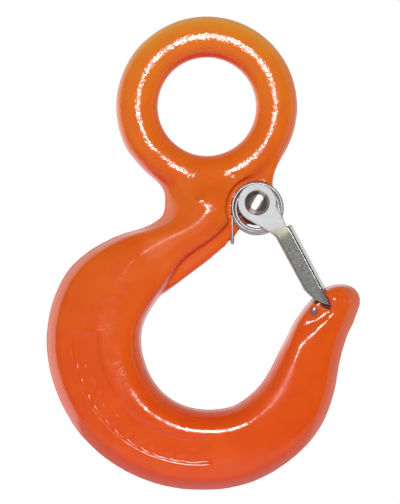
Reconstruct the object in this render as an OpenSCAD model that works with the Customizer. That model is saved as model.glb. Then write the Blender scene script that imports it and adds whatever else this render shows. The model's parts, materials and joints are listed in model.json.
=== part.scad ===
// Forged eye hook with a spring-loaded safety latch.
// +Z runs up the load line, +Y along the bore of the eye and +X toward the tip of the hook.
// The origin is the centre of the eye.

/* [Eye] */
// Bore of the eye, across its narrow land
eye_bore_d = 28; // [26:0.5:30]
// Outside diameter of the eye
eye_outer_d = 51.5; // [50:0.5:53]
// Length of the narrow cylindrical land in the bore
eye_land = 3; // [2:0.5:4]

/* [Hook body] */
// Thickness of the hook at its thickest, below the neck
body_thickness = 18; // [16:0.5:20]
// Diameter of the raised gauge marks on the neck and the tip
gauge_mark_d = 3; // [2:0.5:4]

/* [Latch lug] */
// Thickness of the lug and of the rib that runs on from it
lug_thickness = 7.5; // [6:0.5:8]
// Radius of the lug round the pivot
lug_r = 6.5; // [6:0.1:7]
// Diameter of the bosses that hold the spring coils and space the latch
boss_d = 7.6; // [7:0.2:9]

/* [Latch] */
// Thickness of the latch sheet
sheet = 1.6; // [1.2:0.1:2]
// Gap between the two sides of the latch
latch_gap = 13.2; // [13:0.1:14]
// Radius of the round ears on the pivot
ear_r = 5.5; // [5:0.1:6]
// Height of the channel from the line of the pivot to the back of the web
web_height = 5.8; // [5.4:0.1:6]
// Reach from the pivot to the ends of the side plates
latch_reach = 35.3; // [34.5:0.1:35.5]

/* [Pivot] */
// Diameter of the rivet shank
rivet_d = 5; // [4:0.25:5.5]
// Diameter of the rivet heads
rivet_head_d = 7.2; // [6.5:0.1:8]
// Height of the rivet heads
rivet_head_h = 1.5; // [1:0.1:2]
// Radial play of the latch ears on the rivet
pivot_play = 0.06; // [0.02:0.01:0.1]

/* [Spring] */
// Diameter of the spring wire
wire_d = 1.1; // [0.9:0.1:1.1]
// Outside diameter of the coils
coil_outer_d = 15.4; // [15:0.1:16]

/* [Hidden] */
$fn = 96;
overlap = 0.5;

eye_cut_r = eye_bore_d / 2;
// The bar is round, and the land is the chord that the bore cuts from its inner side.
eye_ring_w = eye_outer_d / 2 - eye_cut_r;
eye_bar_r = (eye_ring_w * eye_ring_w + eye_land * eye_land / 4) / (2 * eye_ring_w);
eye_ring_r = eye_outer_d / 2 - eye_bar_r;

// The pivot, and the angle of the closed latch below the X axis.
pivot = [14.3, -27.5];
latch_angle = -62;

// Stations of the forging from the neck round the bowl to the tip. Each one holds
// the outer point [x, z], the inner point [x, z], the thickness as a part of the
// greatest, the roundness of the outer edge, that of the inner edge, and the share of
// the thickness that is left where the inner edge begins.
stations = [
    [[-17.5, -17.5], [17, -17.5], 0.58, 6, 6, 0.94],
    [[-14.8, -21], [13.5, -21], 0.74, 5.5, 5, 0.88],
    [[-12.3, -25], [11, -25.5], 0.9, 5, 3, 0.82],
    [[-12, -28.5], [9.5, -29.5], 0.98, 4.5, 1.8, 0.8],
    [[-13.2, -31.8], [7.2, -32.3], 1, 4.2, 1.4, 0.8],
    [[-18, -34.6], [4.7, -35.2], 1, 4, 1.2, 0.81],
    [[-25.7, -37], [1.5, -38], 0.99, 3.8, 1.2, 0.82],
    [[-33.5, -41.2], [-3.5, -41.4], 0.98, 3.7, 1.4, 0.83],
    [[-39.6, -46.8], [-7.2, -44.8], 0.97, 3.6, 2, 0.84],
    [[-43.6, -54], [-10.2, -49.5], 0.97, 3.6, 3, 0.86],
    [[-45.6, -62], [-14.5, -55.5], 0.96, 3.6, 4, 0.88],
    [[-45.9, -69], [-18, -61.5], 0.96, 3.6, 5, 0.9],
    [[-44.8, -76], [-18.8, -67.6], 0.96, 3.6, 5.8, 0.92],
    [[-41.9, -84.4], [-17.5, -73.8], 0.96, 3.6, 6.2, 0.94],
    [[-36, -94], [-14.8, -79], 0.96, 3.6, 6.4, 0.96],
    [[-27, -102], [-11, -83], 0.96, 3.5, 6.6, 0.98],
    [[-15.5, -107.5], [-6, -85.6], 0.96, 3.3, 6.6, 0.99],
    [[-3, -109.6], [0, -86.6], 0.96, 3, 6.6, 1],
    [[9.5, -108.4], [6.5, -85.9], 0.96, 3, 6.6, 1],
    [[20, -103.8], [11.3, -83.3], 0.95, 3, 6.5, 1],
    [[28.4, -97], [15.2, -79.6], 0.94, 3, 6.2, 1],
    [[33.7, -89.5], [18, -75.4], 0.92, 3, 5.6, 1],
    [[36.6, -81], [20.2, -71], 0.9, 3, 5, 1],
    [[38, -73.2], [22.5, -66.5], 0.88, 3, 4.2, 1],
    [[40, -66], [25.4, -61], 0.87, 3, 3.6, 1],
    [[42.6, -60], [28.8, -56.4], 0.86, 3, 3.2, 1],
    [[44, -55.5], [32.2, -53], 0.84, 3, 3, 1],
    [[42.6, -52.2], [35.2, -51.3], 0.72, 2.5, 2.5, 1],
    [[40.2, -51], [38, -50.8], 0.35, 0.9, 0.9, 1]
];
station_steps = 3;
edge_steps = 5;
flank_steps = 3;
// Share of the thickness that is left where the outer edge begins
edge_thinning = 0.68;
// How far the outer edge leans from a round toward a flat bevel: 1 is round, 2 is flat
bevel = 1.75;
// Bulge of the flanks, as a share of the half thickness
crown = 0.035;

// Raised gauge marks on both sides: [x, z, half thickness of the forging over the mark].
gauge_marks = [[-1.6, -27.4, 8.45], [30.4, -58.4, 6.5]];

// Outline of the lug and the rib below the eye, down the throat side of the neck.
lug_back = [[-6, -22], [10, -15], [21.6, -13.8], [19.4, -18.5], [18.7, -22]];
lug_front = [[11.6, -33.4], [9.2, -35.2], [7.2, -38.1], [6.3, -38.1], [5.4, -39.5], [0.3, -43.8],
    [-8.8, -50.7], [-12.6, -53.4], [-17, -49], [-14, -40]];
// Round pocket in each side of the forging, for the spring coil and the ear
pocket_centre = [14.6, -29];
pocket_r = 9.2;

// Points of the latch side plate, along and across the arm from the pivot.
plate_neck = [[3.3, -4.4], [9.6, -0.4], [11, 0.2], [28.4, 0.3], [30.9, 1.1], [33.2, 2.4]];
plate_tip_w = 5;
web_start = 10;
web_end = 30.4;
tip_clearance = 0.15;
// Flat on each side of the tip that the side plates swing over. It ends in a cone
// round the pivot, and in a wall that the closed side plates rest against.
seat_thickness = latch_gap - 0.8;
seat_r = latch_reach + 2;
seat_slope = 3.2;
seat_area = [24, -14, 26, 14 + plate_tip_w + tip_clearance];

// The coils hang on the bosses, so their centre is below the pivot.
coil_r = (coil_outer_d - wire_d) / 2;
inner_coil_r = coil_r - wire_d;
coil_play = 0.1;
coil_centre = [pivot.x, pivot.y + boss_d / 2 - inner_coil_r + wire_d / 2 + coil_play];
outer_coil_y = lug_thickness / 2 + coil_play + wire_d / 2;
inner_coil_y = outer_coil_y + wire_d + coil_play;
// Where the spring bears: across the throat edge of the lug, and inside the latch.
lug_seat = [7.3, -38.9];
latch_bend_u = 9.2;
latch_seat_u = 19;
latch_seat_w = web_height - sheet - wire_d / 2 - coil_play;
wire_sides = 8;
turn_steps = 18;

// Point on a smooth curve through p1 and p2, at t from 0 to 1 between them.
function curve(p0, p1, p2, p3, t) =
    0.5 * (2 * p1 + (p2 - p0) * t + (2 * p0 - 5 * p1 + 4 * p2 - p3) * t * t
    + (3 * p1 - p0 - 3 * p2 + p3) * t * t * t);

function station(index) = stations[max(0, min(len(stations) - 1, index))];

function station_at(index, t) = [for (field = [0:5])
    curve(station(index - 1)[field], station(index)[field],
        station(index + 1)[field], station(index + 2)[field], t)];

// Half of a cross-section: [distance from the outer point, half thickness].
function half_section(width, half, outer_r, inner_r, inner_share) =
    let (rise = inner_share - edge_thinning, flank = width - outer_r - inner_r)
    concat(
        [for (i = [0:edge_steps]) let (a = 90 * i / edge_steps)
            [outer_r * (1 - pow(cos(a), bevel)), half * edge_thinning * pow(sin(a), bevel)]],
        [for (i = [1:flank_steps]) let (t = i / (flank_steps + 1))
            [outer_r + flank * t, half * (edge_thinning + rise * t + crown * 4 * t * (1 - t)
                + (1 - inner_share) * sin(180 * t))]],
        [for (i = [0:edge_steps]) let (a = 90 - 90 * i / edge_steps)
            [width - inner_r * (1 - cos(a)), half * inner_share * sin(a)]]);

// Ring of 3D points round the forging at one station.
function section(place) =
    let (
        outer = place[0],
        across = place[1] - place[0],
        width = norm(across),
        half = place[2] * body_thickness / 2,
        side = half_section(width, half, min(place[3], width * 0.45),
            min(place[4], width * 0.45), place[5]),
        last = len(side) - 1
    )
    concat(
        [for (i = [0:last]) let (p = outer + across * side[i][0] / width) [p.x, side[i][1], p.y]],
        [for (i = [last - 1:-1:1]) let (p = outer + across * side[i][0] / width) [p.x, -side[i][1], p.y]]);

// Solid through a list of rings that all have the same number of points.
module loft(rings) {
    count = len(rings[0]);
    last = len(rings) - 1;
    polyhedron(
        points = [for (ring = rings) each ring],
        faces = concat(
            [[for (i = [0:count - 1]) i]],
            [for (r = [0:last - 1], i = [0:count - 1]) let (j = (i + 1) % count)
                [r * count + i, (r + 1) * count + i, (r + 1) * count + j]],
            [for (r = [0:last - 1], i = [0:count - 1]) let (j = (i + 1) % count)
                [r * count + i, (r + 1) * count + j, r * count + j]],
            [[for (i = [count - 1:-1:0]) last * count + i]]));
}

// Round bar swept through a list of 3D points. Each ring is square to the path
// and keeps one of its sides along Y, where the path allows.
module wire(path) {
    last = len(path) - 1;
    loft([for (i = [0:last])
        let (
            ahead = path[min(i + 1, last)] - path[max(i - 1, 0)],
            along = ahead / norm(ahead),
            guess = abs(along.y) < 0.9 ? [0, 1, 0] : [1, 0, 0],
            side_raw = cross(along, guess),
            side = side_raw / norm(side_raw),
            up = cross(along, side)
        )
        [for (k = [0:wire_sides - 1]) let (a = 360 * k / wire_sides)
            path[i] + wire_d / 2 * (cos(a) * side + sin(a) * up)]]);
}

// Upright plate in the X-Z plane, centred on y.
module plate(thickness, y = 0) {
    translate([0, y + thickness / 2, 0])
        rotate([90, 0, 0])
            linear_extrude(thickness)
                children();
}

// Cylinder along Y in the X-Z plane, centred on y.
module rod(centre, radius, length, y = 0) {
    translate([centre.x, y, centre.y])
        rotate([90, 0, 0])
            cylinder(r = radius, h = length, center = true);
}

// Moves drawn latch outlines, along and across the arm, to the closed latch.
module latch_place() {
    translate(pivot)
        rotate(latch_angle)
            children();
}

function latch_point(u, w) = pivot + [u * cos(latch_angle) - w * sin(latch_angle),
    u * sin(latch_angle) + w * cos(latch_angle)];

module eye_ring() {
    rotate([90, 0, 0])
        rotate_extrude()
            translate([eye_ring_r, 0])
                circle(r = eye_bar_r);
}

module hook_body() {
    last = len(stations) - 2;
    rings = [for (index = [0:last], step = [0:station_steps - 1])
        section(station_at(index, step / station_steps))];
    loft(concat(rings, [section(station(last + 1))]));
}

module lug() {
    plate(lug_thickness) {
        polygon(concat(lug_back, [pivot], lug_front));
        translate(pivot)
            circle(r = lug_r);
    }
    rod(pivot, boss_d / 2, latch_gap - 2 * tip_clearance);
}

// What is cut from one side of the tip.
module tip_seat(side) {
    depth = (body_thickness - seat_thickness) / 2;
    intersection() {
        translate([pivot.x, side * seat_thickness / 2, pivot.y])
            rotate([-side * 90, 0, 0])
                cylinder(r1 = seat_r, r2 = seat_r + seat_slope * depth, h = depth);
        plate(body_thickness + overlap)
            latch_place()
                translate([seat_area[0], seat_area[1]])
                    square([seat_area[2], seat_area[3]]);
    }
}

module hook_forging() {
    color("orangered")
    difference() {
        union() {
            difference() {
                union() {
                    eye_ring();
                    hook_body();
                }
                for (side = [-1, 1]) {
                    rod(pocket_centre, pocket_r, body_thickness,
                        side * (body_thickness + lug_thickness - overlap) / 2);
                    tip_seat(side);
                }
            }
            lug();
            for (mark = gauge_marks)
                rod([mark[0], mark[1]], gauge_mark_d / 2, 2 * mark[2]);
        }
        rod([0, 0], eye_cut_r, body_thickness);
        rod(pivot, rivet_d / 2, body_thickness);
    }
}

// One side plate of the latch, drawn along and across the arm.
module latch_side() {
    difference() {
        union() {
            circle(r = ear_r);
            polygon(concat([[0, -ear_r]], plate_neck,
                [[latch_reach, plate_tip_w - 0.6], [latch_reach, plate_tip_w], [web_end, plate_tip_w],
                [web_end, web_height - sheet], [web_start, web_height - sheet], [8.4, 4.4], [3.4, 4.4]]));
        }
        circle(r = rivet_d / 2 + pivot_play);
    }
}

// Cross-section of the channel: two sides, a web and round bends between them.
module channel_section() {
    outer_half = latch_gap / 2 + sheet;
    bend = sheet + 0.4;
    difference() {
        union() {
            translate([web_height - sheet - overlap, -outer_half + bend])
                square([sheet + overlap, 2 * (outer_half - bend)]);
            for (side = [-1, 1])
                intersection() {
                    translate([web_height - bend, side * (outer_half - bend)])
                        circle(r = bend);
                    translate([web_height - sheet, side > 0 ? outer_half - bend : -outer_half])
                        square([sheet, bend]);
                }
        }
        translate([0, -latch_gap / 2])
            square([web_height - sheet, latch_gap]);
    }
}

module latch() {
    color("silver") {
        for (side = [-1, 1])
            plate(sheet, side * (latch_gap + sheet) / 2)
                latch_place()
                    latch_side();
        translate([pivot.x, 0, pivot.y])
            rotate([0, -latch_angle, 0])
                translate([web_start, 0, 0])
                    rotate([0, 90, 0])
                        linear_extrude(web_end - web_start)
                            rotate(180)
                                channel_section();
    }
}

module pivot_rivet() {
    head_y = latch_gap / 2 + sheet + 0.1;
    // Radius of the ball whose cap is the domed head
    ball_r = (rivet_head_d * rivet_head_d / 4 + rivet_head_h * rivet_head_h) / (2 * rivet_head_h);
    color("gray")
    translate([pivot.x, 0, pivot.y])
        rotate([90, 0, 0]) {
            cylinder(d = rivet_d, h = 2 * head_y + overlap, center = true);
            for (flip = [0, 180])
                rotate([flip, 0, 0])
                    translate([0, 0, head_y])
                        intersection() {
                            translate([0, 0, rivet_head_h - ball_r])
                                sphere(r = ball_r);
                            cylinder(d = rivet_head_d + overlap, h = rivet_head_h);
                        }
        }
}

// Angle at which a straight wire to a point leaves the circle round the coil's centre.
function leaving_angle(radius, point, turn) =
    let (away = point - coil_centre)
    atan2(away.y, away.x) + turn * acos(radius / norm(away));

module latch_spring() {
    latch_bend = latch_point(latch_bend_u, latch_seat_w);
    latch_seat = latch_point(latch_seat_u, latch_seat_w);
    // The wire leaves the outer turn for the lug and the inner turn for the latch.
    lug_leave = leaving_angle(coil_r, lug_seat, -1);
    latch_leave = leaving_angle(inner_coil_r, latch_bend, 1);
    turned = latch_leave - lug_leave + 720;
    steps = round(turned / 360 * turn_steps);
    side_path = concat(
        [[lug_seat.x, -outer_coil_y + 1.2, lug_seat.y], [lug_seat.x, -outer_coil_y, lug_seat.y]],
        [for (i = [0:steps])
            let (
                part = i / steps,
                a = lug_leave + turned * part,
                r = coil_r - wire_d * min(1, max(0, part * 3 - 1)),
                y = outer_coil_y + (inner_coil_y - outer_coil_y) * min(1, max(0, part * 3 - 1))
            )
            [coil_centre.x + r * cos(a), -y, coil_centre.y + r * sin(a)]],
        [for (p = [latch_bend, latch_seat]) [p.x, -inner_coil_y, p.y]]);
    last = len(side_path) - 1;
    color("lightgray")
    wire(concat(
        [for (i = [last:-1:0]) side_path[i]],
        [for (p = side_path) [p.x, -p.y, p.z]]));
}

hook_forging();
latch();
pivot_rivet();
latch_spring();
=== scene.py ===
import json
import math

import bmesh
import bpy
import numpy as np
from mathutils import Matrix, Vector, noise


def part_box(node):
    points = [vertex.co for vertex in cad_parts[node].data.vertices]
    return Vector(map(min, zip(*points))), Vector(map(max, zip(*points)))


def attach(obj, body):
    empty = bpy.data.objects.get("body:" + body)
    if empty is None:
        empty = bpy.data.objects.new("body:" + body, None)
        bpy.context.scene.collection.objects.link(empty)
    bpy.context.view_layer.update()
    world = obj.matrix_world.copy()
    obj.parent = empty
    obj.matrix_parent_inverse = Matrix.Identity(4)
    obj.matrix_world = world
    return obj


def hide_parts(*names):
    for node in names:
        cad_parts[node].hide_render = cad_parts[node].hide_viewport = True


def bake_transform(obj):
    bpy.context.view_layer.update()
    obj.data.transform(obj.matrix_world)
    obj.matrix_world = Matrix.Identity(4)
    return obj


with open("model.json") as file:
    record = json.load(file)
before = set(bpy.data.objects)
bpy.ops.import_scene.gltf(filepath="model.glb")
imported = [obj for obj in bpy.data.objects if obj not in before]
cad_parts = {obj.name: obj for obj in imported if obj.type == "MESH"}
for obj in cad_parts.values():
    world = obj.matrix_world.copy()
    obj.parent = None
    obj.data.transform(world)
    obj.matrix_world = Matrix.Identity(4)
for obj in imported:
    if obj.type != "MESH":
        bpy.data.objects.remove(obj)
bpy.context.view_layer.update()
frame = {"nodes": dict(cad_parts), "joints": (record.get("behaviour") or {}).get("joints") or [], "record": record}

MM = 0.001
WELD_DISTANCE = 0.001 * MM
X_AXIS = Vector((1, 0, 0))
Y_AXIS = Vector((0, 1, 0))
Z_AXIS = Vector((0, 0, 1))

# ---------------------------------------------------------------- places taken from the frame
MOUNTS = {mount["name"]: mount for mount in frame["record"]["mounts"]}
PIVOT = Vector(frame["joints"][0]["pos_m"])
EYE_CENTRE = Vector((0, 0, 0))
EYE_BORE_R = MOUNTS["eye"]["dims"]["r_mm"] * MM
EYE_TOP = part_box("hook_forging")[1][2]
EYE_CREST_R = (EYE_BORE_R + EYE_TOP) / 2
LATCH_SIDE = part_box("latch")[1][1]
RIVET_LOW, RIVET_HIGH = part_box("pivot_rivet")

# The closed latch hangs from the pivot at this angle below the X axis. ARM runs along
# it and BACK across it, away from the throat.
ARM_ANGLE = math.radians(-62)
ARM = Vector((math.cos(ARM_ANGLE), 0, math.sin(ARM_ANGLE)))
BACK = Vector((-math.sin(ARM_ANGLE), 0, math.cos(ARM_ANGLE)))


# ---------------------------------------------------------------- mesh helpers
def coordinates(mesh):
    """The mesh's points, one row each."""
    points = np.empty(len(mesh.vertices) * 3, np.float64)
    mesh.vertices.foreach_get("co", points)
    return points.reshape(-1, 3)


def set_coordinates(mesh, points):
    mesh.vertices.foreach_set("co", points.astype(np.float32).ravel())
    mesh.update()


def edge_pairs(mesh):
    """The two point numbers of each edge."""
    edges = np.empty(len(mesh.edges) * 2, np.int32)
    mesh.edges.foreach_get("vertices", edges)
    return edges.reshape(-1, 2)


def point_normals(mesh, points):
    """Moves the mesh to these points, and gives the normal at each."""
    set_coordinates(mesh, points)
    normals = np.empty(len(mesh.vertices) * 3, np.float32)
    mesh.vertex_normals.foreach_get("vector", normals)
    return normals.reshape(-1, 3).astype(np.float64)


def link(name, data):
    """A new object in the scene."""
    piece = bpy.data.objects.new(name, data)
    bpy.context.scene.collection.objects.link(piece)
    return piece


def finished(piece, material, replaced):
    """Smooth shading and the material, and hides the CAD part that the piece stands for."""
    piece.data.polygons.foreach_set("use_smooth", [True] * len(piece.data.polygons))
    piece.data.materials.clear()
    piece.data.materials.append(material)
    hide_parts(replaced)
    return piece


def remeshed_copy(node, name, voxel):
    """A copy of a CAD node's mesh, welded and then remeshed evenly."""
    piece = link(name, frame["nodes"][node].data.copy())
    weld = bmesh.new()
    weld.from_mesh(piece.data)
    bmesh.ops.remove_doubles(weld, verts=weld.verts, dist=WELD_DISTANCE)
    weld.to_mesh(piece.data)
    weld.free()
    even = piece.modifiers.new("even", "REMESH")
    even.mode = "VOXEL"
    even.voxel_size = voxel
    graph = bpy.context.evaluated_depsgraph_get()
    mesh = bpy.data.meshes.new_from_object(piece.evaluated_get(graph))
    piece.modifiers.clear()
    piece.data = mesh
    return piece


def relaxed(points, edges, rounds, share=1.0):
    """Smoothed points: each round moves each one half way to its neighbours' mean, times share,
    which is one number, or one for each point."""
    count = np.bincount(edges.ravel(), minlength=len(points))[:, None]
    step = np.broadcast_to(0.5 * np.reshape(share, (-1, 1)), (len(points), 1))
    for _ in range(rounds):
        total = np.empty_like(points)
        for axis in range(3):
            total[:, axis] = np.bincount(edges[:, 0], points[edges[:, 1], axis], len(points))
            total[:, axis] += np.bincount(edges[:, 1], points[edges[:, 0], axis], len(points))
        points = points + step * (total / count - points)
    return points


def above(value, low, high):
    """0 below low, 1 above high and a smooth rise between them."""
    part = np.clip((value - low) / (high - low), 0, 1)
    return part * part * (3 - 2 * part)


def below(value, low, high):
    """1 below low, 0 above high and a smooth fall between them."""
    return 1 - above(value, low, high)


def within(value, low, high, wall):
    """1 between low and high and 0 outside them, with walls of this width at both ends."""
    return above(value, low, low + wall) * below(value, high - wall, high)


def waves(points, size, shift):
    """Smooth noise of this size, about -0.5 to 0.5, at every point."""
    offset = Vector((shift, 2 * shift, 3 * shift))
    return np.array([noise.noise(Vector(point) / size + offset) for point in points])


# ---------------------------------------------------------------- the forging
FORGING_VOXEL = 0.42 * MM
# Rounds of smoothing: all over, in the fillets between eye and neck, on the bowl and on the tip
SKIN_ROUNDS = 5
NECK_ROUNDS = 120
BOWL_ROUNDS = 25
TIP_ROUNDS = 20
# The fillets lie between these heights, fade over this wall at both, and end at this X
NECK_HEIGHTS = (-27 * MM, -12 * MM)
NECK_WALL = 4 * MM
NECK_SIDE = (2 * MM, 7 * MM)
# The bowl starts this far down. It leaves out the latch's seat, beyond this X and above this Z
BOWL_TOP = (45 * MM, 55 * MM)
SEAT_X = (20 * MM, 24 * MM)
SEAT_Z = (-66 * MM, -61 * MM)
# Direction out to the tip's nose, and where its rounding starts: this far out, above this Z
NOSE_OUT = np.array([0.8, 0.6])
NOSE_START = (-4.5 * MM, -1.5 * MM)
NOSE_Z = (-63 * MM, -58 * MM)

# The eye is the part this near to its centre and above the neck
EYE_RADII = (EYE_CREST_R + 5 * MM, EYE_CREST_R + 9 * MM)
EYE_DEPTHS = (EYE_CREST_R - 4 * MM, EYE_CREST_R + 4 * MM)
# The crest's flattening starts this far from the middle plane, and grows with the square
CREST_START = 4 * MM
CREST_FLATTENING = 0.06 / MM
# Share of its thickness that the eye loses with height: 0.006 for each millimetre
EYE_TAPER = 0.006 / MM

# Centre of the curve that the bowl's outside follows, and the panel with it: [x, z]
BOWL_CENTRE = np.array([-2.3, -65.8]) * MM
PANEL_RADII = (27.8 * MM, 36.6 * MM)
PANEL_ANGLES = (177, 277)
PANEL_DEPTH = 0.65 * MM
PANEL_WALL = 1.5 * MM
# The panel is pressed into the faces, which lie this far from the middle plane
FACE_START = (3 * MM, 5 * MM)
# Worn blank pads in the panel, from this angle to this one
PAD_ANGLES = (196, 267)
PAD_COUNT = 11
PAD_HEIGHT = 0.2 * MM
PAD_EDGE = 1.2 * MM
# Distance from the panel's outer edge to the pads
PAD_MARGIN = 0.6 * MM
# Half length of a pad and distance from the panel's inner edge to it, how far each of them
# swings about its mean, and the turn of that swing from one pad to the next
PAD_HALF_LENGTH = 2.1 * MM
HALF_LENGTH_SWING = 0.5 * MM
HALF_LENGTH_TURN = 2.6
PAD_INSET = 4.2 * MM
INSET_SWING = 0.6 * MM
INSET_TURN = 4.1

# Direction across the rib from the body to its free edge, and how far out the rib's face starts
RIB_OUT = np.array([0.618, -0.786])
RIB_START = 28.5 * MM
RIB_DRAFT = math.radians(6)
# The rib's faces: distances from the middle plane and the wall there, depths where they start
# and end, and the X where they end
RIB_FACES = (1.5 * MM, 5 * MM)
RIB_WALL = 0.8 * MM
RIB_TOP = (32 * MM, 36 * MM)
RIB_END = (52 * MM, 58 * MM)
RIB_SIDE = (12 * MM, 16 * MM)

# The trimmed flash line of the dies: its height, its distances from the middle plane, and how
# far its surface may turn to the front or back. It is ground off round the pivot and at the bore
FLASH_HEIGHT = 0.16 * MM
FLASH_WIDTH = (0.5 * MM, 1.1 * MM)
FLASH_FACING = (0.3, 0.6)
FLASH_PIVOT_GAP = (12 * MM, 15 * MM)
FLASH_BORE_GAP = (1 * MM, 3 * MM)
# Two thick drops of paint on the tip: their centres, radius and height
PAINT_DROPS = np.array([[36.9, -55.4], [40.1, -55.2]]) * MM
DROP_R = 1.5 * MM
DROP_HEIGHT = 0.5 * MM
# Waves of the forged skin: height, size and shift of each
SKIN_WAVES = [(0.05 * MM, 7 * MM, 0), (0.016 * MM, 1.8 * MM, 31)]


def smoothed_forging(points, edges):
    """The dies' wide fillets run the eye into the neck, and grinding softens the bowl and the tip."""
    points = relaxed(points, edges, SKIN_ROUNDS)
    x, _, z = points.T
    neck = within(z, *NECK_HEIGHTS, NECK_WALL) * below(x, *NECK_SIDE)
    points = relaxed(points, edges, NECK_ROUNDS, neck)
    x, _, z = points.T
    seat = above(x, *SEAT_X) * above(z, *SEAT_Z)
    points = relaxed(points, edges, BOWL_ROUNDS, above(-z, *BOWL_TOP) * (1 - seat))
    _, _, z = points.T
    tip = above(points[:, [0, 2]] @ NOSE_OUT, *NOSE_START) * above(z, *NOSE_Z)
    return relaxed(points, edges, TIP_ROUNDS, tip)


def shape_eye(points):
    """The dies leave the eye's crest flatter than a round bar, and thinner toward the top."""
    x, y, z = points.T
    eye = below(np.hypot(x, z), *EYE_RADII) * below(-z, *EYE_DEPTHS)
    high = np.maximum(np.abs(y) - CREST_START, 0)
    y -= np.sign(y) * eye * CREST_FLATTENING * high ** 2
    y *= 1 - eye * EYE_TAPER * (z + EYE_CREST_R)


def panel_depth(x, z):
    """Depth of the blank crescent panel on each side of the bowl, with its worn pads."""
    across = x - BOWL_CENTRE[0]
    up = z - BOWL_CENTRE[1]
    radius = np.hypot(across, up)
    angle = np.degrees(np.arctan2(up, across)) % 360
    along = np.radians(angle) * radius
    start, end = (math.radians(limit) * radius for limit in PANEL_ANGLES)
    inside = within(radius, *PANEL_RADII, PANEL_WALL) * within(along, start, end, PANEL_WALL)
    depth = PANEL_DEPTH * inside
    for index, centre in enumerate(np.linspace(*PAD_ANGLES, PAD_COUNT)):
        half_length = PAD_HALF_LENGTH + HALF_LENGTH_SWING * math.sin(HALF_LENGTH_TURN * index)
        inner = PANEL_RADII[0] + PAD_INSET + INSET_SWING * math.cos(INSET_TURN * index)
        off_centre = np.abs(np.radians(angle - centre)) * radius
        pad = below(off_centre, half_length - PAD_EDGE, half_length)
        pad *= within(radius, inner, PANEL_RADII[1] - PAD_MARGIN, PAD_EDGE)
        depth -= PAD_HEIGHT * pad * inside
    return depth


def press_panels(points):
    x, y, z = points.T
    y -= above(np.abs(y), *FACE_START) * np.sign(y) * panel_depth(x, z)


def draft_rib(points):
    """The rib's sides draw in toward its free edge."""
    x, y, z = points.T
    beyond = np.maximum(points[:, [0, 2]] @ RIB_OUT - RIB_START, 0)
    rib = within(np.abs(y), *RIB_FACES, RIB_WALL) * above(-z, *RIB_TOP)
    rib *= below(-z, *RIB_END) * below(x, *RIB_SIDE)
    y -= np.sign(y) * rib * beyond * math.tan(RIB_DRAFT)


def skin_height(points, normals):
    """How far the flash line, the drops of paint and the skin's waves stand out."""
    x, y, z = points.T
    bore_gap = np.hypot(x, z) - EYE_BORE_R
    rim = below(np.abs(y), *FLASH_WIDTH) * below(np.abs(normals[:, 1]), *FLASH_FACING)
    clear = above(np.hypot(x - PIVOT.x, z - PIVOT.z), *FLASH_PIVOT_GAP)
    height = FLASH_HEIGHT * rim * clear * above(bore_gap, *FLASH_BORE_GAP)
    for drop_x, drop_z in PAINT_DROPS:
        height += DROP_HEIGHT * below(np.hypot(x - drop_x, z - drop_z), 0, DROP_R)
    for wave_height, size, shift in SKIN_WAVES:
        height += wave_height * waves(points, size, shift)
    return height


def make_forging(material):
    piece = remeshed_copy("hook_forging", "hook_forging_painted", FORGING_VOXEL)
    mesh = piece.data
    points = smoothed_forging(coordinates(mesh), edge_pairs(mesh))
    shape_eye(points)
    press_panels(points)
    draft_rib(points)
    normals = point_normals(mesh, points)
    set_coordinates(mesh, points + normals * skin_height(points, normals)[:, None])
    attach(finished(piece, material, "hook_forging"), "hook")


# ---------------------------------------------------------------- the latch
LATCH_VOXEL = 0.24 * MM
LATCH_ROUNDS = 2
# Where the flat ears end and the channel begins, from the pivot along the arm
JOGGLE = (7.5 * MM, 11.5 * MM)
# The channel's sides lean in toward their free edges, about a line this far across the arm
LEAN = math.radians(7)
LEAN_LINE = 2 * MM
# The bend between each side and the back is drawn out to a crisp edge and a flat beyond it:
# where the CAD's round bend ends and its radius, and where the edge is, across the arm
LATCH_BACK = 5.8 * MM
BEND_R = 2 * MM
BEND_EDGE = 4.7 * MM
# Distances from the middle plane over which the sides and the bends start
SIDE_START = (LATCH_SIDE - BEND_R - 0.4 * MM, LATCH_SIDE - BEND_R)


def make_latch(material):
    piece = remeshed_copy("latch", "latch_pressed", LATCH_VOXEL)
    mesh = piece.data
    points = relaxed(coordinates(mesh), edge_pairs(mesh), LATCH_ROUNDS)
    from_pivot = points - np.array(PIVOT)
    across = from_pivot @ np.array(BACK)
    y = points[:, 1]
    side = above(np.abs(y), *SIDE_START) * np.sign(y) * above(from_pivot @ np.array(ARM), *JOGGLE)
    # How far the round bend, and then the crisp one, has dropped from the side's face
    round_drop = BEND_R - np.sqrt(BEND_R ** 2 - np.clip(across - LATCH_BACK + BEND_R, 0, BEND_R) ** 2)
    crisp_drop = BEND_R * np.clip((across - BEND_EDGE) / (LATCH_BACK - BEND_EDGE), 0, 1)
    lean = (np.clip(across, 0, BEND_EDGE) - LEAN_LINE) * math.tan(LEAN)
    y += side * (round_drop - crisp_drop + lean)
    set_coordinates(mesh, points)
    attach(finished(piece, material, "latch"), "latch")


# ---------------------------------------------------------------- the rivet
# Half of the rivet's outline: [radius, distance in from the top of the head], in mm. The first
# eight points are its dome, and the last one starts the shank.
HEAD_OUTLINE = [(0, 0), (0.7, 0.03), (1.3, 0.12), (1.9, 0.3), (2.4, 0.52), (2.9, 0.8), (3.3, 1.1),
                (3.55, 1.36), (3.5, 1.5), (2.5, 1.52)]
DOME_POINTS = 8
LATHE_STEPS = 72
# Direction of the peened ridge across each head, how much less the head falls along it than
# across it, and the share of the head's radius where it starts to fade
BAND = Vector((0.5, 0, 0.87))
RIDGE_SLOPE = 0.4
RIDGE_FADE = 0.7


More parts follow.
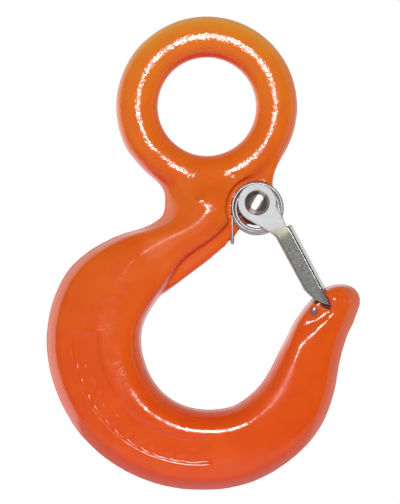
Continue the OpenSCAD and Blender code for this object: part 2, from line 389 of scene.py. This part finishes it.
def lathe(name, outline, centre):
    """A solid turned about Y through centre, from an outline of [radius, y] from end to end."""
    shape = bmesh.new()
    turn = [2 * math.pi * step / LATHE_STEPS for step in range(LATHE_STEPS)]
    rings = []
    for radius, y in outline:
        angles = turn if radius else [0]
        rings.append([shape.verts.new((centre.x + radius * math.cos(angle), y,
                                       centre.z + radius * math.sin(angle))) for angle in angles])
    for low, high in zip(rings, rings[1:]):
        for step in range(LATHE_STEPS):
            after = (step + 1) % LATHE_STEPS
            corners = [low[step % len(low)], low[after % len(low)],
                       high[after % len(high)], high[step % len(high)]]
            shape.faces.new(list(dict.fromkeys(corners)))
    bmesh.ops.recalc_face_normals(shape, faces=shape.faces)
    mesh = bpy.data.meshes.new(name)
    shape.to_mesh(mesh)
    shape.free()
    return link(name, mesh)


def raise_ridge(points):
    """Peening leaves a low ridge along the band, on both heads."""
    from_pivot = points - np.array(PIVOT)
    along = from_pivot @ np.array(BAND)
    radius = np.hypot(from_pivot[:, 0], from_pivot[:, 2])
    across = np.sqrt(np.maximum(radius ** 2 - along ** 2, 0))
    radii, depths = np.array(HEAD_OUTLINE[:DOME_POINTS]).T * MM
    ridge = RIVET_HIGH[1] - np.interp(np.hypot(across, RIDGE_SLOPE * along), radii, depths)
    y = points[:, 1]
    height = np.abs(y)
    on_dome = height > RIVET_HIGH[1] - depths[-1]
    share = on_dome * below(radius, RIDGE_FADE * radii[-1], radii[-1])
    y += np.sign(y) * share * (ridge - height)


def make_rivet(material):
    head = [(radius * MM, RIVET_LOW[1] + depth * MM) for radius, depth in HEAD_OUTLINE]
    far_head = [(radius, -y) for radius, y in reversed(head)]
    piece = lathe("latch_rivet", head + far_head, PIVOT)
    points = coordinates(piece.data)
    raise_ridge(points)
    set_coordinates(piece.data, points)
    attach(finished(piece, material, "pivot_rivet"), "hook")


# ---------------------------------------------------------------- the spring
WIRE_R = 0.55 * MM
WIRE_SIDES = 10
OUTER_TURN_R = 7.15 * MM
INNER_TURN_R = OUTER_TURN_R - 2 * WIRE_R
COIL_CENTRE = PIVOT + Vector((0, 0, -1.6 * MM))
# The wire winds from an outer turn to an inner one beside it, on each side of the lug
TURN_PITCH = 1.2 * MM
OUTER_TURN_Y = 4.4 * MM
INNER_TURN_Y = OUTER_TURN_Y + TURN_PITCH
WHOLE_TURNS = 2
STEPS_PER_TURN = 48
# Where the spring bears: across the throat edge of the lug, and inside the latch, where each
# leg bends and then runs along the arm, this far across it
LUG_SEAT = Vector((7.3, 0, -38.9)) * MM
LEG_ACROSS = 3.55 * MM
LATCH_BEND = PIVOT + 9.2 * MM * ARM + LEG_ACROSS * BACK
LATCH_SEAT = PIVOT + 19 * MM * ARM + LEG_ACROSS * BACK
# The bend at each end of the bridge over the lug: its size along Y and along Z
BRIDGE_BEND_Y = 1.2 * MM
BRIDGE_BEND_Z = 0.8 * MM
BRIDGE_STEPS = 8


def leaving_angle(radius, point, turn):
    """Angle at which a straight wire to a point leaves the circle round the coil's centre."""
    away = point - COIL_CENTRE
    return math.atan2(away.z, away.x) + turn * math.acos(radius / away.xz.length)


def spring_side():
    """Centre line of one half of the spring, from the bridge over the lug to its free end."""
    path = []
    for bend in np.linspace(0, math.pi / 2, BRIDGE_STEPS):
        y = OUTER_TURN_Y - BRIDGE_BEND_Y * (1 - math.sin(bend))
        path.append(LUG_SEAT + Vector((0, y, BRIDGE_BEND_Z * (1 - math.cos(bend)))))
    start = leaving_angle(OUTER_TURN_R, LUG_SEAT, -1)
    turned = leaving_angle(INNER_TURN_R, LATCH_BEND, 1) - start + WHOLE_TURNS * 2 * math.pi
    steps = round(turned / (2 * math.pi) * STEPS_PER_TURN)
    for step in range(steps + 1):
        part = step / steps
        angle = start + turned * part
        # The wire crosses from the outer turn to the inner one in the middle third of its way.
        crossing = min(1, max(0, part * 3 - 1))
        radius = OUTER_TURN_R + (INNER_TURN_R - OUTER_TURN_R) * crossing
        y = OUTER_TURN_Y + (INNER_TURN_Y - OUTER_TURN_Y) * crossing
        path.append(COIL_CENTRE + Vector((radius * math.cos(angle), y, radius * math.sin(angle))))
    # Both straights stop just short of the bend between them, which rounds it.
    leave = path[-1]
    aside = INNER_TURN_Y * Y_AXIS
    path += [leave.lerp(LATCH_BEND + aside, share) for share in (0.4, 0.8)]
    path += [LATCH_BEND.lerp(LATCH_SEAT, share) + aside for share in (0.08, 0.5, 0.97, 1)]
    return path


def make_spring(material):
    side = spring_side()
    other = [Vector((point.x, -point.y, point.z)) for point in side]
    path = list(reversed(side)) + other
    curve = bpy.data.curves.new("latch_spring_wire", "CURVE")
    curve.dimensions = "3D"
    curve.bevel_depth = WIRE_R
    # A bevel has four sides, and two more for each step of its resolution.
    curve.bevel_resolution = (WIRE_SIDES - 4) // 2
    curve.use_fill_caps = True
    spline = curve.splines.new("POLY")
    spline.points.add(len(path) - 1)
    for place, point in zip(spline.points, path):
        place.co = (*point, 1)
    source = link("spring_path", curve)
    graph = bpy.context.evaluated_depsgraph_get()
    mesh = bpy.data.meshes.new_from_object(source.evaluated_get(graph))
    bpy.data.objects.remove(source)
    piece = finished(link("latch_spring_wire", mesh), material, "latch_spring")
    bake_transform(piece)


# ---------------------------------------------------------------- node trees
class Tree:
    """A node tree in the making."""

    def __init__(self, tree):
        self.tree = tree

    def add(self, kind, **settings):
        node = self.tree.nodes.new(kind)
        for key, value in settings.items():
            setattr(node, key, value)
        return node

    def put(self, target, value):
        """Links a socket to the target, or sets the target to a plain value."""
        if isinstance(value, bpy.types.NodeSocket):
            self.tree.links.new(value, target)
        else:
            target.default_value = value

    def spread(self, value, low, high, out_low=0.0, out_high=1.0, rise="SMOOTHSTEP"):
        """out_low below low, out_high above high and a rise between them."""
        node = self.add("ShaderNodeMapRange", interpolation_type=rise)
        sockets = ("Value", "From Min", "From Max", "To Min", "To Max")
        for socket, number in zip(sockets, (value, low, high, out_low, out_high)):
            self.put(node.inputs[socket], number)
        return node.outputs["Result"]

    def within(self, value, low, high, edge):
        """1 between low and high and 0 outside them, with soft edges of this width."""
        fall = self.spread(value, high - edge, high, 1.0, 0.0)
        return self.math("MULTIPLY", self.spread(value, low, low + edge), fall)

    def math(self, operation, first, second=0.0):
        node = self.add("ShaderNodeMath", operation=operation)
        self.put(node.inputs[0], first)
        self.put(node.inputs[1], second)
        return node.outputs["Value"]

    def dot(self, vector, direction):
        node = self.add("ShaderNodeVectorMath", operation="DOT_PRODUCT")
        self.put(node.inputs[0], vector)
        self.put(node.inputs[1], direction)
        return node.outputs["Value"]

    def mix(self, amount, first, second):
        node = self.add("ShaderNodeMixRGB")
        for socket, value in zip(("Fac", "Color1", "Color2"), (amount, first, second)):
            self.put(node.inputs[socket], value)
        return node.outputs["Color"]


class Shader(Tree):
    """A new material: one Principled shader and what feeds it."""

    def __init__(self, name, **sockets):
        self.material = bpy.data.materials.new(name)
        self.material.use_nodes = True
        super().__init__(self.material.node_tree)
        self.principled = self.tree.nodes["Principled BSDF"]
        for socket, value in sockets.items():
            self.feed(socket.replace("_", " "), value)
        source = self.add("ShaderNodeTexCoord")
        self.place = source.outputs["Object"]
        self.facing = source.outputs["Normal"]

    def feed(self, socket, value):
        self.put(self.principled.inputs[socket], value)

    def noise(self, size, detail):
        texture = self.add("ShaderNodeTexNoise")
        self.put(texture.inputs["Vector"], self.place)
        self.put(texture.inputs["Scale"], 1 / size)
        self.put(texture.inputs["Detail"], detail)
        return texture.outputs["Fac"]

    def along(self, direction, origin):
        """Distance from origin along a direction."""
        return self.math("SUBTRACT", self.dot(self.place, direction), direction.dot(origin))

    def distance(self, centre):
        """Distance from an axis along Y through centre."""
        x = self.along(X_AXIS, centre)
        z = self.along(Z_AXIS, centre)
        squares = self.math("ADD", self.math("MULTIPLY", x, x), self.math("MULTIPLY", z, z))
        return self.math("SQRT", squares)

    def spot(self, centre, radius, edge, amount):
        """amount round an axis along Y through centre, and 0 beyond the radius, with a soft edge."""
        return self.spread(self.distance(centre), radius - edge, radius, amount, 0.0)

    def bump(self, height, distance, strength=1.0):
        node = self.add("ShaderNodeBump")
        self.put(node.inputs["Strength"], strength)
        self.put(node.inputs["Distance"], distance)
        self.put(node.inputs["Height"], height)
        return node.outputs["Normal"]


def rgb(red, green, blue):
    return (red, green, blue, 1.0)


# ---------------------------------------------------------------- materials
# Centre and radius of the gauge mark on the tip, which is coloured a dark grey-brown
TIP_MARK = Vector((30.4, 0, -58.4)) * MM
TIP_MARK_R = 1.5 * MM
# Radius of the painted shade round the pivot, under the latch's ears
PIVOT_SHADE_R = 6.6 * MM
# Patches rubbed duller by slings, on the shoulder and on the arm: their centres and radius
DULL_PATCHES = [Vector((-8, 0, -38)) * MM, Vector((15, 0, -77)) * MM]
DULL_R = 13 * MM
# The painted shadow on the tip below the closed latch's sloping ends: where it starts, its
# direction, the direction out of the latch, its length, its width, the widths of its soft
# sides and ends, and how dark it is
REST_START = PIVOT + 29.5 * MM * ARM + 0.2 * MM * BACK
REST_SLOPE = math.radians(36)
REST_ALONG = math.cos(REST_SLOPE) * ARM + math.sin(REST_SLOPE) * BACK
REST_OUT = math.sin(REST_SLOPE) * ARM - math.cos(REST_SLOPE) * BACK
REST_LENGTH = 8.5 * MM
REST_WIDTH = 1.5 * MM
REST_SIDE_EDGE = 0.3 * MM
REST_END_EDGE = 1 * MM
LATCH_SHADOW_DARKNESS = 0.9
# Heights over which the paint goes from its low to its high colour, a painted light from
# above, over which upward faces take the painted yellow light, and over which its skin gets coarser
COLOUR_HEIGHTS = (-95 * MM, 20 * MM)
TOP_LIGHT_HEIGHTS = (-10 * MM, 20 * MM)
PEEL_HEIGHTS = (-45 * MM, -10 * MM)
# Along the arm from the pivot: where the light zinc gives way to the darker, where the darker
# zinc's yellow tint fades, and where the zinc gets smoother
DARKER_ZINC_START = (8 * MM, 11 * MM)
TINT_FADE = (9 * MM, 16 * MM)
SMOOTH_START = (8.5 * MM, 13 * MM)


def latch_shadow_line(look):
    """How dark the painted shadow is, below the closed latch's end on the tip."""
    out = look.along(REST_OUT, REST_START)
    along = look.along(REST_ALONG, REST_START)
    line = look.math("MULTIPLY", look.within(out, -REST_SIDE_EDGE, REST_WIDTH, REST_SIDE_EDGE),
                     look.within(along, 0.0, REST_LENGTH, REST_END_EDGE))
    return look.math("MULTIPLY", line, LATCH_SHADOW_DARKNESS)


def orange_enamel():
    look = Shader("orange_enamel", IOR=1.5)
    tone = look.spread(look.noise(9 * MM, 3), 0.3, 0.7)
    low = look.mix(tone, rgb(0.86, 0.085, 0.004), rgb(0.90, 0.103, 0.005))
    high = look.mix(tone, rgb(0.90, 0.165, 0.010), rgb(0.94, 0.200, 0.012))
    # Painted light from above: the paint is paler and yellower toward the top.
    height = look.along(Z_AXIS, EYE_CENTRE)
    colour = look.mix(look.spread(height, *COLOUR_HEIGHTS), low, high)
    # Painted light and shade: the paint is yellower where the eye faces up, and redder underneath.
    facing_up = look.dot(look.facing, Z_AXIS)
    painted_top_light = look.math("MULTIPLY", look.spread(facing_up, 0.0, 0.9, 0.1, 0.9),
                       look.spread(height, *TOP_LIGHT_HEIGHTS))
    colour = look.mix(painted_top_light, colour, rgb(0.97, 0.42, 0.045))
    colour = look.mix(look.spread(facing_up, -0.1, -0.9), colour, rgb(0.80, 0.055, 0.013))
    recoloured = look.spot(TIP_MARK, TIP_MARK_R, 0.25 * MM, 0.8)
    colour = look.mix(recoloured, colour, rgb(0.22, 0.11, 0.09))
    # Painted shade round the pivot, in the gap under the latch's ears.
    painted_pivot_shade = look.spot(PIVOT, PIVOT_SHADE_R, 0.5 * MM, 0.9)
    colour = look.mix(painted_pivot_shade, colour, rgb(0.12, 0.045, 0.045))
    # The closed latch's shadow on the tip is painted in as a dark line.
    look.feed("Base Color", look.mix(latch_shadow_line(look), colour, rgb(0.08, 0.01, 0.01)))
    roughness = look.spread(look.noise(3 * MM, 2), 0.3, 0.7, 0.10, 0.17)
    for centre in DULL_PATCHES:
        roughness = look.math("ADD", roughness, look.spot(centre, DULL_R, 6 * MM, 0.2))
    look.feed("Roughness", roughness)
    # Its skin is orange peel, coarser on the eye than on the bowl.
    coarseness = look.spread(height, *PEEL_HEIGHTS, 0.35, 1.0)
    look.feed("Normal", look.bump(look.math("MULTIPLY", look.noise(1 * MM, 2), coarseness), 0.08 * MM))
    return look.material


def zinc_plate():
    """Light zinc on the ears and darker zinc on the channel, with a yellow tint between them."""
    look = Shader("zinc_plate", Metallic=1.0)
    along = look.along(ARM, PIVOT)
    bright = look.mix(look.noise(1.6 * MM, 3), rgb(0.76, 0.77, 0.79), rgb(0.88, 0.89, 0.90))
    grain = look.spread(look.noise(0.5 * MM, 4), 0.35, 0.65)
    darker_zinc = look.mix(grain, rgb(0.37, 0.36, 0.34), rgb(0.58, 0.57, 0.54))
    darker_zinc = look.mix(look.spread(along, *TINT_FADE), rgb(0.50, 0.47, 0.35), darker_zinc)
    # Painted light and shade on the bend beside the back: a dark painted shade along its edge, and a near-white
    # painted reflection beyond it.
    across = look.along(BACK, PIVOT)
    off_middle = look.math("ABSOLUTE", look.along(Y_AXIS, PIVOT))
    bend = look.spread(off_middle, LATCH_SIDE - BEND_R, LATCH_SIDE - BEND_R + 0.3 * MM)
    # Dark painted shade along the bend's edge.
    painted_bend_shade = look.spread(across, BEND_EDGE - 0.3 * MM, BEND_EDGE - 0.05 * MM)
    darker_zinc = look.mix(look.math("MULTIPLY", bend, painted_bend_shade), darker_zinc, rgb(0.05, 0.05, 0.05))
    # Near-white painted reflection beyond the bend's edge.
    recoloured = look.spread(across, BEND_EDGE + 0.15 * MM, BEND_EDGE + 0.3 * MM)
    darker_zinc = look.mix(look.math("MULTIPLY", bend, recoloured), darker_zinc, rgb(0.93, 0.93, 0.92))
    look.feed("Base Color", look.mix(look.spread(along, *DARKER_ZINC_START), bright, darker_zinc))
    look.feed("Roughness", look.spread(along, *SMOOTH_START, 0.66, 0.22))
    look.feed("Normal", look.bump(look.noise(0.35 * MM, 3), 0.02 * MM, 0.5))
    return look.material


def rivet_steel():
    """Peened steel darkened as a painted dark reflection, with a light ragged band along the ridge as a painted
    highlight.
    """
    look = Shader("rivet_steel", Metallic=1.0)
    off = look.math("ABSOLUTE", look.along(Vector((BAND.z, 0, -BAND.x)), PIVOT))
    ragged = look.math("ADD", off, look.math("MULTIPLY", look.noise(1.2 * MM, 2), 0.9 * MM))
    # Painted highlight: a light ragged band along the ridge.
    highlight_band = look.spread(ragged, 1 * MM, 1.7 * MM, 1.0, 0.0)
    # Painted dark reflection over the rest of the head.
    painted_dark_steel = look.mix(look.noise(1.5 * MM, 2), rgb(0.27, 0.21, 0.18), rgb(0.40, 0.38, 0.35))
    look.feed("Base Color", look.mix(highlight_band, painted_dark_steel, rgb(0.85, 0.85, 0.84)))
    look.feed("Roughness", look.spread(highlight_band, 0.0, 1.0, 0.34, 0.42))
    look.feed("Normal", look.bump(look.noise(0.5 * MM, 2), 0.03 * MM, 0.5))
    return look.material


def spring_wire():
    look = Shader("spring_wire", Metallic=1.0)
    tone = look.noise(0.8 * MM, 2)
    look.feed("Base Color", look.mix(tone, rgb(0.52, 0.52, 0.54), rgb(0.68, 0.68, 0.69)))
    look.feed("Roughness", look.spread(look.noise(0.5 * MM, 2), 0.3, 0.7, 0.42, 0.55))
    look.feed("Normal", look.bump(look.noise(0.4 * MM, 2), 0.01 * MM, 0.5))
    return look.material


def pale_floor():
    """White paper, plain but for its faint fibres."""
    look = Shader("pale_floor", Roughness=0.8, Emission_Color=rgb(1, 1, 1), Emission_Strength=0.2)
    tone = look.noise(30 * MM, 3)
    look.feed("Base Color", look.mix(tone, rgb(0.80, 0.80, 0.80), rgb(0.84, 0.84, 0.83)))
    look.feed("Normal", look.bump(look.noise(1.5 * MM, 3), 0.05 * MM, 0.4))
    return look.material


# ---------------------------------------------------------------- surroundings, floor, light and camera
# Brightness of the surroundings along BEHIND: -1 is toward the viewer, 1 is behind the object,
# and the bright part reaches further round on the right
BEHIND = (0.25, 1, 0)
SURROUNDINGS = [(-1.0, 0.20), (-0.85, 0.18), (-0.7, 0.12), (-0.15, 0.14), (0.05, 1.0), (1.0, 1.0)]
# They are brighter toward this side than away from it, over this range of directions
BRIGHT_SIDE = (-0.9, 0, -0.45)
SIDE_RANGE = (-0.7, 0.7)
DIM_LEVEL = 0.75
BRIGHT_LEVEL = 1.8
# They fall to this share straight above
OVERHEAD_LEVEL = 0.5

# The floor lies below the hanging hook, and is small enough to stay out of the picture
FLOOR_Z = -190 * MM
FLOOR_R = 200 * MM
FLOOR_SIDES = 96

# Both lamps hang in the same place, in front of the hook and above it
LAMP_PLACE = Vector((0.02, -1.57, 0.27))
LAMP_TARGET = Vector((0, 0, -0.04))
LAMP_WIDTH = 0.24
LAMP_HEIGHT = 0.32
KEY_POWER = 9.5
FILL_POWER = 5.4

# The picture's frame at the object: its height and its centre, a little left of the eye
PICTURE_HEIGHT = 144 * MM
PICTURE_CENTRE = Vector((-1.94, 0, -41.5)) * MM
CAMERA_DISTANCE = 1.5
CAMERA_SENSOR_MM = 36


def make_surroundings():
    world = bpy.data.worlds.new("studio")
    bpy.context.scene.world = world
    world.use_nodes = True
    sky = Tree(world.node_tree)
    direction = sky.add("ShaderNodeTexCoord").outputs["Generated"]
    tone = sky.add("ShaderNodeValToRGB")
    sky.put(tone.inputs["Fac"], sky.spread(sky.dot(direction, BEHIND), -1, 1, rise="LINEAR"))
    stops = tone.color_ramp.elements
    while len(stops) < len(SURROUNDINGS):
        stops.new(0.5)
    for stop, (behind, level) in zip(stops, SURROUNDINGS):
        stop.position = (behind + 1) / 2
        stop.color = rgb(level, level, level)
    side = sky.spread(sky.dot(direction, BRIGHT_SIDE), *SIDE_RANGE, DIM_LEVEL, BRIGHT_LEVEL, "LINEAR")
    overhead = sky.spread(sky.dot(direction, Z_AXIS), 0, 1, 1, OVERHEAD_LEVEL, "LINEAR")
    level = sky.math("MULTIPLY", side, overhead)
    # The camera itself sees a plain white ground.
    seen = sky.add("ShaderNodeLightPath").outputs["Is Camera Ray"]
    background = sky.tree.nodes["Background"]
    sky.put(background.inputs["Color"], sky.mix(seen, tone.outputs["Color"], rgb(1, 1, 1)))
    sky.put(background.inputs["Strength"], sky.spread(seen, 0, 1, level, 1, "LINEAR"))


def make_lamp(name, power):
    data = bpy.data.lights.new(name, "AREA")
    data.shape = "RECTANGLE"
    data.size = LAMP_WIDTH
    data.size_y = LAMP_HEIGHT
    data.energy = power
    aim = (LAMP_TARGET - LAMP_PLACE).to_track_quat("-Z", "Y")
    lamp = link(name, data)
    lamp.matrix_world = Matrix.Translation(LAMP_PLACE) @ aim.to_matrix().to_4x4()
    return lamp


def make_floor(material):
    disc = bmesh.new()
    bmesh.ops.create_circle(disc, cap_ends=True, segments=FLOOR_SIDES, radius=FLOOR_R)
    mesh = bpy.data.meshes.new("floor")
    disc.to_mesh(mesh)
    disc.free()
    mesh.materials.append(material)
    floor = link("floor", mesh)
    floor.location.z = FLOOR_Z


def make_camera():
    data = bpy.data.cameras.new("camera")
    data.sensor_width = CAMERA_SENSOR_MM
    data.lens = CAMERA_SENSOR_MM * CAMERA_DISTANCE / PICTURE_HEIGHT
    camera = link("camera", data)
    camera.location = PICTURE_CENTRE - CAMERA_DISTANCE * Y_AXIS
    camera.rotation_euler = (math.pi / 2, 0, 0)
    bpy.context.scene.camera = camera


make_surroundings()
make_camera()
bpy.context.scene.view_settings.view_transform = "Standard"
make_lamp("key", KEY_POWER)
# The fill brightens the colours, but shows no second highlight.
make_lamp("fill", FILL_POWER).visible_glossy = False
make_floor(pale_floor())

make_forging(orange_enamel())
make_latch(zinc_plate())
make_rivet(rivet_steel())
make_spring(spring_wire())
